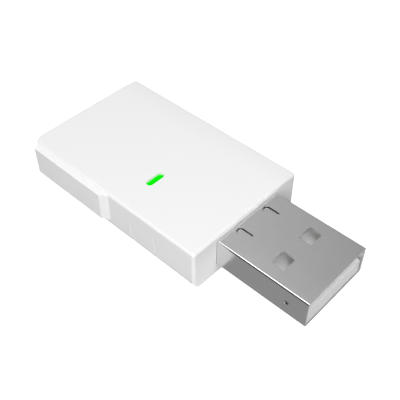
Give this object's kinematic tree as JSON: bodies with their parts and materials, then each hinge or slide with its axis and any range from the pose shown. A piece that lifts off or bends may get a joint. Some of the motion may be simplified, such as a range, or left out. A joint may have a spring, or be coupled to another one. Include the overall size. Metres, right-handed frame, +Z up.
{
  "type": "bluetooth usb gateway",
  "caption": "Small white radio dongle with a metal USB type A plug, an oval green status light on top and a raised grip pad on one side.",
  "frame": {"origin": "centre of the housing's flat underside, at its mid-length, on the plug's centre plane", "axes": "+X out of the housing along the plug, +Y to the plain long side, +Z up from the underside"},
  "size_m": [0.0466, 0.0214, 0.0071],
  "materials": {
    "white_housing": "fine satin moulding",
    "green_guide": "clear green, lit from below",
    "plug_sheet": "bright nickel-plated sheet",
    "plug_insulator": "plain moulding",
    "contact_gold": "gold-plated",
    "board_green": "solder mask",
    "chip_black": "moulded",
    "can_sheet": "tin-plated",
    "antenna_ceramic": "sintered",
    "led_body": "clear resin",
    "capacitor_ceramic": "sintered"
  },
  "bodies": {
    "root": {"top_cover": "white_housing", "bottom_cover": "white_housing", "light_guide": "green_guide", "usb_shell": "plug_sheet", "usb_insulator": "plug_insulator", "contact_power": "contact_gold", "contact_data_minus": "contact_gold", "contact_data_plus": "contact_gold", "contact_ground": "contact_gold", "circuit_board": "board_green", "antenna": "antenna_ceramic", "shield_can": "can_sheet", "radio_chip": "chip_black", "status_led": "led_body", "crystal": "can_sheet", "flash_memory": "chip_black", "usb_bridge_chip": "chip_black", "power_inductor": "chip_black", "bulk_capacitor": "capacitor_ceramic", "voltage_regulator": "chip_black", "surge_protector": "chip_black", "bypass_capacitors": "capacitor_ceramic", "resistors": "chip_black"}
  },
  "joints": []
}
